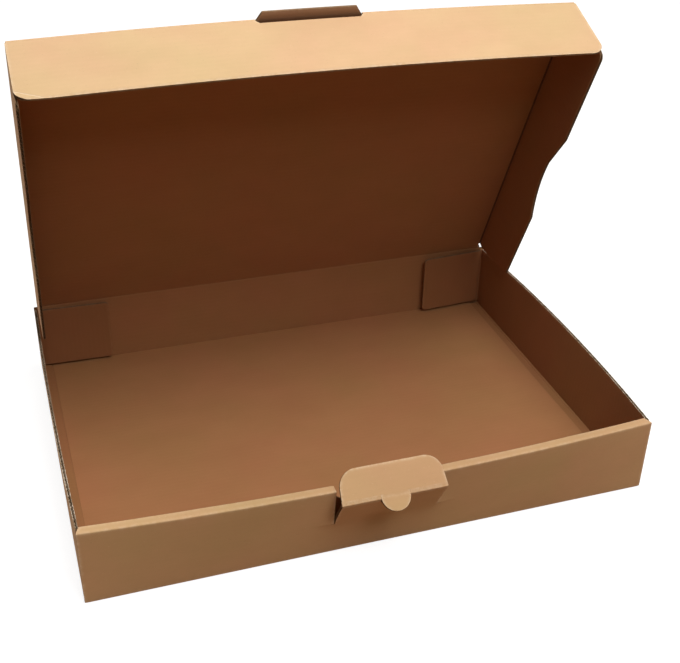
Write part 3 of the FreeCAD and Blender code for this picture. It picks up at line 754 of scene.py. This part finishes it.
DOWN, UP, BACK = np.array([0, 0, -1.0]), np.array([0, 0, 1.0]), np.array([0, 1.0, 0])
crease("lid_hinge_crease", HINGE, ACROSS, -171.6, 171.6, DOWN, BACK, LID_WAY, -LID_IN, GAP,
       shape=bowed(as_built))

# ------------------------------------------------------------------------------------------------
# Front flap of the lid: creased square to the lid, with rounded corners. The tongue has left its slot
# at the crease. The left corner has been bent a little.
# ------------------------------------------------------------------------------------------------

FLAP_HALF = 172.7
FLAP_CORNER = 8.0
CUT = 0.4              # width of the cut around the tongue
SLOT_END = 3.5         # how far the slot that it left reaches into the flap
lid_edge = HINGE + LID_WAY * REACH


def flap_side(v):
    deep = np.clip(v - (FLAP_DEEP - FLAP_CORNER), 0, FLAP_CORNER)
    return FLAP_HALF - FLAP_CORNER + np.sqrt(np.maximum(FLAP_CORNER ** 2 - deep ** 2, 0))


def slot_side(v):
    return np.interp(v, [GAP, SLOT_END], [TONGUE_ROOT + CUT, TONGUE_ROOT - 1.6])


def flap_place(u, v, w):
    """Place on the front flap, whose left corner curls up softly towards its free edge."""
    curl = np.clip((-u - 140) / 33 + (v - 34) / 14 - 1.15, 0, 1)
    w = w + 2.2 * curl ** 2
    return flat_place(lid_edge, ACROSS, LID_IN, LID_WAY)(u, v, w)


# The bend has left a crease that starts at the flap's left end and runs out through its free edge. Its
# values are in metres on the sheet.
CREASE_START, CREASE_SLOPE, CREASE_END = 0.1185, 0.45, 0.1575
BENT, inside, outside = node_group("bent_corner", [("NodeSocketVector", "Sheet", None)],
                                   [("NodeSocketFloat", "Ridge"), ("NodeSocketFloat", "Valley shade")])
split = BENT.nodes.new("ShaderNodeSeparateXYZ")
BENT.links.new(inside.outputs["Sheet"], split.inputs[0])
slant = math_node(BENT, "ADD", math_node(BENT, "MULTIPLY", split.outputs["X"], CREASE_SLOPE), CREASE_START)
wander = math_node(BENT, "MULTIPLY", noise(BENT, inside.outputs["Sheet"], 120, 2), 0.0012)
off = math_node(BENT, "SUBTRACT", math_node(BENT, "ADD", split.outputs["Y"], wander), slant)
length = math_node(BENT, "MULTIPLY", math_node(BENT, "ADD", split.outputs["X"], CREASE_END), -400, True)
# The ridge is the crease's rubbed line. The valley just beside it is painted shade.
for label, shift in (("Ridge", 0.0), ("Valley shade", 0.0008)):
    gap = math_node(BENT, "ABSOLUTE", math_node(BENT, "ADD", off, shift))
    line = math_node(BENT, "SUBTRACT", 1.0, math_node(BENT, "MULTIPLY", gap, 1700), True)
    BENT.links.new(math_node(BENT, "MULTIPLY", line, length), outside.inputs[label])
# The front flap's outer paper is a lighter, paler copy of kraft_outer: painted light for the full light
# that falls on the flap. It also carries the bent corner's crease.
FLAP_PAPER = kraft("kraft_outer_bent_painted_light", (0.80, 0.530, 0.302), **OUTER_LOOK, dent=BENT)

flap = Board(bowed(flap_place))
leaf(flap, GAP, SLOT_END, even(-FLAP_HALF), lambda v: -slot_side(v), sides="jj", seed=15, uneven=0.0)
leaf(flap, GAP, SLOT_END, slot_side, even(FLAP_HALF), sides="jj", seed=15, uneven=0.0)
leaf(flap, SLOT_END, FLAP_DEEP, lambda v: -flap_side(v), flap_side, sides="jc", step=5, seed=16, uneven=0.3,
     lines=[FLAP_DEEP - FLAP_CORNER * (1 - math.sin(step * math.pi / 20)) for step in range(11)])
flap_board = flap.made("lid_front_flap_panel", "lid_front_flap", (FLAP_PAPER, INNER_PAPER, CUT_PAPER))
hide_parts("lid_front_flap")
for word, near, far in (("left", -FLAP_HALF + 0.6, -TONGUE_ROOT - CUT),
                        ("right", TONGUE_ROOT + CUT, FLAP_HALF - 0.6)):
    crease(f"lid_front_crease_{word}", lid_edge, ACROSS, near, far,
           -LID_WAY, -LID_IN, LID_IN, LID_WAY, GAP, shape=bowed(as_built))

# ------------------------------------------------------------------------------------------------
# Side flaps of the lid: creased square to the lid, full depth at the front, then a shallow hollow, and
# cut on a slant near the hinge. The flutes end in the wavy free edge. The fold to the lid is painted dark
# on its inner side as shade.
# ------------------------------------------------------------------------------------------------

EAR_FRONT = 235.2
EAR_TAIL = 0.018 * EAR_FRONT
HOLLOW_START, HOLLOW_END, LOBE = 0.366 * EAR_FRONT, 0.574 * EAR_FRONT, 0.694 * EAR_FRONT
HOLLOW_FROM, HOLLOW_TO, HOLLOW_SAG = 46.4, 39.7, 2.8      # depths at the hollow's ends, and its sag between
EAR_TAIL_EDGE = ((EAR_TAIL, EAR_TAIL + 0.7, 20.6, HOLLOW_START), (5.0, 6.6, 45.0, HOLLOW_FROM))
EAR_CORNER = 5.0
EAR_DEEP = 47.2


def ear_edge(s):
    s = np.asarray(s, float)
    tail = np.interp(s, *EAR_TAIL_EDGE)
    share = np.clip((s - HOLLOW_START) / (HOLLOW_END - HOLLOW_START), 0, 1)
    hollow = HOLLOW_FROM + (HOLLOW_TO - HOLLOW_FROM) * share - HOLLOW_SAG * 4 * share * (1 - share)
    ramp = np.interp(s, [HOLLOW_END, LOBE], [HOLLOW_TO, EAR_DEEP])
    ahead = np.clip(s - (EAR_FRONT - EAR_CORNER), 0, EAR_CORNER)
    nose = EAR_DEEP - EAR_CORNER + np.sqrt(np.maximum(EAR_CORNER ** 2 - ahead ** 2, 0))
    front = np.where(s < LOBE, ramp, nose)
    return np.where(s < HOLLOW_START, tail, np.where(s < HOLLOW_END, hollow, front))


def ear_place(hand, splay):
    """Place of one side flap, whose front end stands out by splay at its free edge."""
    def place(u, v, w):
        out = splay * ease((v - 90) / 145) * (u / FLAP_DEEP) ** 1.3
        x = hand * (LID_HALF + w + out)
        return x, HINGE[1] + v * LID_WAY[1] + u * LID_IN[1], HINGE[2] + v * LID_WAY[2] + u * LID_IN[2]
    return place


# Painted shade: the inner paper of the fold between the lid and its side flaps is set far darker than
# kraft_inner.
VALLEY_SHADE_PAPER = kraft("kraft_inner_valley_painted_shade", (0.15, 0.062, 0.026), rib=0.0, fuzz=0.2,
                     rubbed=(0.24, 0.11, 0.05))
FOLD_PAPERS = (OUTER_PAPER, VALLEY_SHADE_PAPER, CUT_PAPER)
FLAP_PAPERS = (OUTER_PAPER, PAINTED_SHADE_INNER, CUT_PAPER)
FAR_FOLD = (GAP * PRESSED, 0.25)      # inner half of a crease that folds far over, at its ends and middle
nose_lines = [EAR_FRONT - EAR_CORNER * (1 - math.sin(step * math.pi / 16)) for step in range(9)]
for hand, word, splay in ((1, "right", 0.1), (-1, "left", 0.1)):
    ear = Board(bowed(ear_place(hand, splay)))
    leaf(ear, EAR_TAIL + 0.4, EAR_FRONT, even(GAP), lambda v: np.maximum(ear_edge(v), GAP + 0.3),
         sides="cc", ends="jc", step=4, lines=[HOLLOW_START, HOLLOW_END, LOBE, *nose_lines], seed=17 + hand,
         uneven=0.06, facing=-hand, pinch=lambda u, v: u)
    ear_board = ear.made(f"lid_{word}_flap_panel", f"lid_{word}_flap", FLAP_PAPERS)
    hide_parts(f"lid_{word}_flap")
    crease(f"lid_{word}_crease", HINGE + hand * LID_HALF * ACROSS, LID_WAY,
           EAR_TAIL, REACH - 0.4, -hand * ACROSS, -LID_IN, LID_IN, hand * ACROSS, GAP,
           shape=bowed(as_built), papers=FOLD_PAPERS, inner=FAR_FOLD)

# ------------------------------------------------------------------------------------------------
# Rear corner flaps: they go on from the side walls' rear ends and stand loose against the back wall.
# Their flutes are upright.
# ------------------------------------------------------------------------------------------------

FLAP_LONG = 51.0
REAR_LOW, REAR_TOP = 4.0, 49.0
REAR_CORNER = 3.0


def rear_corner(v):
    """How much of a rear corner flap's height the rounding of its free corners takes away at v."""
    ahead = np.clip((v - FLAP_LONG + REAR_CORNER) / REAR_CORNER, 0, 1)
    return REAR_CORNER * (1 - np.sqrt(np.maximum(1 - ahead ** 2, 0)))


for hand, word, stand in ((1, "right", 4.0), (-1, "left", 1.5)):      # stand: degrees off the back wall
    lean = math.radians(stand)
    way = np.array([-hand * math.cos(lean), -math.sin(lean), 0])
    out = np.array([-hand * math.sin(lean), math.cos(lean), 0])
    axis = np.array([hand * SIDE_LAYER, REAR_AXIS, 0])
    rear = Board(flat_place(axis, UP, way, out))
    leaf(rear, GAP, FLAP_LONG, lambda v: REAR_LOW + rear_corner(v), lambda v: REAR_TOP - rear_corner(v),
         sides="jc", ends="cc", lines=[FLAP_LONG - step for step in (0.15, 0.4, 0.8, 1.4, 2.1, 3)], step=5,
         seed=20 + hand, uneven=0.3, facing=hand, pinch=lambda u, v: v)
    rear_board = rear.made(f"rear_{word}_flap_panel", f"rear_{word}_flap", FLAP_PAPERS)
    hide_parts(f"rear_{word}_flap")
    crease(f"rear_{word}_crease", axis, UP, 2.4, 49.6, -BACK, hand * ACROSS,
           way, out, GAP, inner=FAR_FOLD)

# ------------------------------------------------------------------------------------------------
# Lock tab: cut from the roll of the front wall and creased back over the leaning middle. Its half-round
# thumb piece stays in the tab's own plane, out in front.
# ------------------------------------------------------------------------------------------------

TAB_LONG, TAB_CORNER, TAB_TAPER = 19.5, 11.0, 0.6
TILT = math.radians(44)
tab_origin = np.array([0.0, *TAB_AXIS])
TAB_WAY = np.array([0.0, math.cos(TILT), math.sin(TILT)])
TAB_OUT = np.array([0.0, -math.sin(TILT), math.cos(TILT)])


def tab_side(v):
    plain = np.interp(v, [0, TAB_LONG - TAB_CORNER], [MIDDLE_HALF, MIDDLE_HALF - TAB_TAPER])
    deep = np.clip(v - (TAB_LONG - TAB_CORNER), 0, TAB_CORNER)
    return plain - TAB_CORNER + np.sqrt(np.maximum(TAB_CORNER ** 2 - deep ** 2, 0))


def thumb_side(v):
    return np.sqrt(np.maximum(THUMB ** 2 - np.minimum(v, 0) ** 2, 0.0004))


tab = Board(flat_place(tab_origin, ACROSS, TAB_WAY, TAB_OUT))
leaf(tab, TAB_START, TAB_LONG, lambda v: -tab_side(v), tab_side, sides="jc", step=3, seed=23, uneven=0.12,
     lines=[TAB_LONG - TAB_CORNER * (1 - math.sin(step * math.pi / 32)) for step in range(17)])
leaf(tab, -THUMB, TAB_START, lambda v: -thumb_side(v), thumb_side, sides="jj", step=2, seed=24, uneven=0.0,
     lines=[-THUMB * math.cos(step * math.pi / 40) for step in range(20)],
     crush=fold_press([0.3], 0.8))
tab_board = tab.made("lock_tab_panel", "lock_tab", PAPERS)
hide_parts("lock_tab")
LEAN_DOWN = np.array([0.0, math.sin(LEAN), -math.cos(LEAN)])
LEAN_OUT = np.array([0.0, -math.cos(LEAN), -math.sin(LEAN)])
for word, near, far in (("left", -MIDDLE_HALF, -THUMB - 0.05), ("right", THUMB + 0.05, MIDDLE_HALF)):
    crease(f"lock_tab_crease_{word}", tab_origin, ACROSS, near, far, LEAN_DOWN,
           LEAN_OUT, TAB_WAY, TAB_OUT, TAB_START)

# ------------------------------------------------------------------------------------------------
# Studio: a plain pale floor and a white surround, two soft lamps above and in front, two wide, even
# lights from the front right and from behind, and the camera.
# ------------------------------------------------------------------------------------------------

def plainly_seen(tree):
    """1 for what the camera sees, straight or in a shine; 0 for the light that falls on the box."""
    rays = tree.nodes.new("ShaderNodeLightPath")
    shine = math_node(tree, "MAXIMUM", rays.outputs["Is Glossy Ray"], rays.outputs["Is Transmission Ray"])
    return math_node(tree, "MAXIMUM", rays.outputs["Is Camera Ray"], shine)


floor_mesh = bpy.data.meshes.new("studio_floor")
FLOOR_SIZE, FLOOR_LOW = 6, -0.0003
floor_ways = ((-1, -1), (1, -1), (1, 1), (-1, 1))
floor_corners = [(FLOOR_SIZE * x, FLOOR_SIZE * y, FLOOR_LOW) for x, y in floor_ways]
floor_mesh.from_pydata(floor_corners, [], [(0, 1, 2, 3)])
floor = bpy.data.objects.new("studio_floor", floor_mesh)
bpy.context.scene.collection.objects.link(floor)
floor_paint = bpy.data.materials.new("studio_white")
floor_paint.use_nodes = True
tree = floor_paint.node_tree
tint = tree.nodes.new("ShaderNodeMix")
tint.data_type = "RGBA"
tint.inputs[6].default_value = (0.28, 0.14, 0.055, 1)
tint.inputs[7].default_value = (0.32, 0.32, 0.32, 1)
seen = plainly_seen(tree)
tree.links.new(seen, tint.inputs["Factor"])
paint = tree.nodes["Principled BSDF"]
tree.links.new(tint.outputs[2], paint.inputs["Base Color"])
paint.inputs["Roughness"].default_value = 0.9
paint.inputs["Specular IOR Level"].default_value = 0.0
paint.inputs["Emission Color"].default_value = (1, 1, 1, 1)
tree.links.new(math_node(tree, "MULTIPLY", seen, 0.85), paint.inputs["Emission Strength"])
floor_mesh.materials.append(floor_paint)

world = bpy.data.worlds.new("studio_surround")
world.use_nodes = True
tree = world.node_tree
DIM = 0.03             # what the surround gives to the box
glow = math_node(tree, "ADD", math_node(tree, "MULTIPLY", plainly_seen(tree), 1 - DIM), DIM)
tree.links.new(glow, tree.nodes["Background"].inputs["Strength"])
tree.nodes["Background"].inputs["Color"].default_value = (1, 1, 1, 1)
bpy.context.scene.world = world


def soft_light(name, spot, power):
    lamp = bpy.data.lights.new(name, "AREA")
    lamp.shape = "SQUARE"
    lamp.size = 0.5
    lamp.energy = power
    stand = bpy.data.objects.new(name, lamp)
    stand.location = spot
    stand.rotation_euler = (Vector(spot) - Vector((0, 0, 0.1))).to_track_quat("Z", "Y").to_euler()
    bpy.context.scene.collection.objects.link(stand)


soft_light("light_above", (0.02, -0.10, 1.00), 2.7)
soft_light("light_front", (0.12, -0.55, 0.90), 3.05)
for name, power, spread, spot in (("light_all_over", 1.04, 40, (0.30, -0.35, 0.90)),
                                  ("light_behind", 1.9, 40, (-0.12, 0.90, 0.42))):
    sun = bpy.data.lights.new(name, "SUN")
    sun.energy = power
    sun.angle = math.radians(spread)
    stand = bpy.data.objects.new(name, sun)
    stand.rotation_euler = Vector(spot).to_track_quat("Z", "Y").to_euler()
    bpy.context.scene.collection.objects.link(stand)

azimuth, elevation, roll = (math.radians(angle) for angle in (-19.14, 31.12, 1.45))
to_camera = Vector((math.sin(azimuth) * math.cos(elevation), -math.cos(azimuth) * math.cos(elevation),
                    math.sin(elevation)))
level = Vector((math.cos(azimuth), math.sin(azimuth), 0))
upright = to_camera.cross(level)
camera_right = level * math.cos(roll) + upright * math.sin(roll)
camera_up = upright * math.cos(roll) - level * math.sin(roll)
camera_data = bpy.data.cameras.new("camera")
camera_data.lens = 57.8
camera_data.sensor_width = 36
camera = bpy.data.objects.new("camera", camera_data)
spot = Vector((-0.18874, -0.58130, 0.44222))
turned = Matrix((camera_right, camera_up, to_camera)).transposed().to_4x4()
camera.matrix_world = Matrix.Translation(spot) @ turned
bpy.context.scene.collection.objects.link(camera)
bpy.context.scene.camera = camera
bpy.context.scene.view_settings.view_transform = "Standard"
